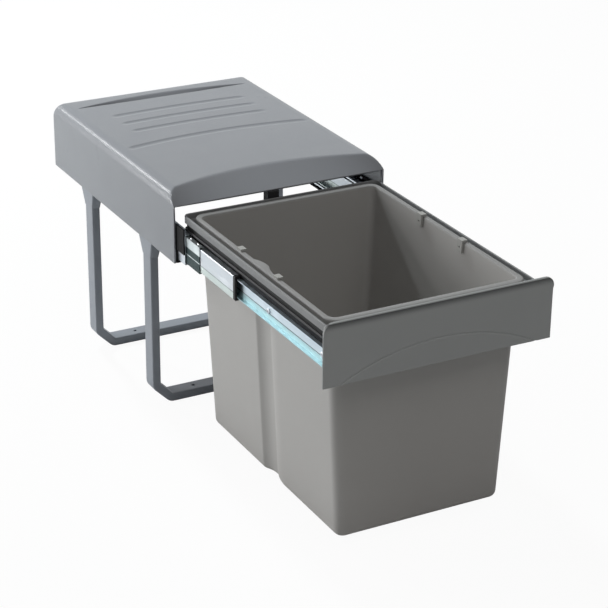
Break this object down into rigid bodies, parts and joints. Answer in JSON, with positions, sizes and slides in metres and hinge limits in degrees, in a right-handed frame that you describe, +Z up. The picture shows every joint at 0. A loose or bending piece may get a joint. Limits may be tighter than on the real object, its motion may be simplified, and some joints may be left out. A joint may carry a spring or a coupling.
{
  "type": "pull-out waste bin",
  "caption": "Built-in recycling bin: a tub in a frame on full-extension ball slides under a moulded cover that stands on floor-screwed hoops, for a kitchen base unit.",
  "frame": {"origin": "floor level, in the middle of the four floor screw holes", "axes": "+Z up, +Y from the pull-out front to the rear of the cabinet, X across the unit"},
  "size_m": [0.34, 0.8965, 0.372],
  "materials": {
    "cover_grey": "fine moulded texture, satin",
    "panel_grey": "fine moulded texture, satin",
    "frame_grey": "moulded, satin",
    "bucket_grey": "moulded, matte",
    "hoop_paint": "satin powder coat",
    "black_steel": "satin black coat",
    "black_plastic": "moulded, satin",
    "zinc_steel": "bright zinc plate",
    "ball_steel": "polished",
    "screw_zinc": "zinc plate"
  },
  "bodies": {
    "housing": {"top_cover": "cover_grey", "front_hoop": "hoop_paint", "rear_hoop": "hoop_paint", "rear_cross_brace": "black_steel", "slide_rivets": "screw_zinc", "cover_screws": "screw_zinc", "socket_screws": "screw_zinc", "brace_screws": "screw_zinc", "left_front_leg_socket": "hoop_paint", "left_rear_leg_socket": "hoop_paint", "left_carrier_rail": "black_steel", "left_outer_slide": "zinc_steel", "right_front_leg_socket": "hoop_paint", "right_rear_leg_socket": "hoop_paint", "right_carrier_rail": "black_steel", "right_outer_slide": "zinc_steel"},
    "carriage": {"carriage_frame": "frame_grey", "front_panel": "panel_grey", "rear_stop": "black_plastic", "stop_screws": "screw_zinc", "inner_slide_screws": "screw_zinc", "panel_screws": "screw_zinc", "frame_screws": "screw_zinc", "rail_screws": "screw_zinc", "left_inner_slide": "zinc_steel", "left_side_rail": "black_steel", "left_panel_bracket": "black_steel", "right_inner_slide": "zinc_steel", "right_side_rail": "black_steel", "right_panel_bracket": "black_steel"},
    "bucket": {"bucket": "bucket_grey", "bag_clips": "bucket_grey"},
    "left_middle": {"left_middle_slide": "zinc_steel", "left_middle_bumper": "black_plastic"},
    "left_outer_bearing": {"left_outer_ball_cage": "zinc_steel", "left_outer_balls": "ball_steel"},
    "left_inner_bearing": {"left_inner_ball_cage": "zinc_steel", "left_inner_balls": "ball_steel"},
    "right_middle": {"right_middle_slide": "zinc_steel", "right_middle_bumper": "black_plastic"},
    "right_outer_bearing": {"right_outer_ball_cage": "zinc_steel", "right_outer_balls": "ball_steel"},
    "right_inner_bearing": {"right_inner_ball_cage": "zinc_steel", "right_inner_balls": "ball_steel"}
  },
  "joints": [
    {"name": "carriage_slide", "type": "slide", "parent": "housing", "child": "carriage", "axis": [0, 1, 0], "range_m": [0, 0.4]},
    {"name": "bucket_lift", "type": "slide", "parent": "carriage", "child": "bucket", "axis": [0, 0, 1], "range_m": [0, 0.36]},
    {"name": "left_middle_slide", "type": "slide", "parent": "housing", "child": "left_middle", "axis": [0, 1, 0], "range_m": [0, 0.2]},
    {"name": "left_outer_bearing_slide", "type": "slide", "parent": "housing", "child": "left_outer_bearing", "axis": [0, 1, 0], "range_m": [0, 0.1]},
    {"name": "left_inner_bearing_slide", "type": "slide", "parent": "housing", "child": "left_inner_bearing", "axis": [0, 1, 0], "range_m": [0, 0.3]},
    {"name": "right_middle_slide", "type": "slide", "parent": "housing", "child": "right_middle", "axis": [0, 1, 0], "range_m": [0, 0.2]},
    {"name": "right_outer_bearing_slide", "type": "slide", "parent": "housing", "child": "right_outer_bearing", "axis": [0, 1, 0], "range_m": [0, 0.1]},
    {"name": "right_inner_bearing_slide", "type": "slide", "parent": "housing", "child": "right_inner_bearing", "axis": [0, 1, 0], "range_m": [0, 0.3]}
  ],
  "couplings": [
    {"joint": "left_middle_slide", "follows": "carriage_slide", "ratio": 0.5},
    {"joint": "left_outer_bearing_slide", "follows": "carriage_slide", "ratio": 0.25},
    {"joint": "left_inner_bearing_slide", "follows": "carriage_slide", "ratio": 0.75},
    {"joint": "right_middle_slide", "follows": "carriage_slide", "ratio": 0.5},
    {"joint": "right_outer_bearing_slide", "follows": "carriage_slide", "ratio": 0.25},
    {"joint": "right_inner_bearing_slide", "follows": "carriage_slide", "ratio": 0.75}
  ]
}
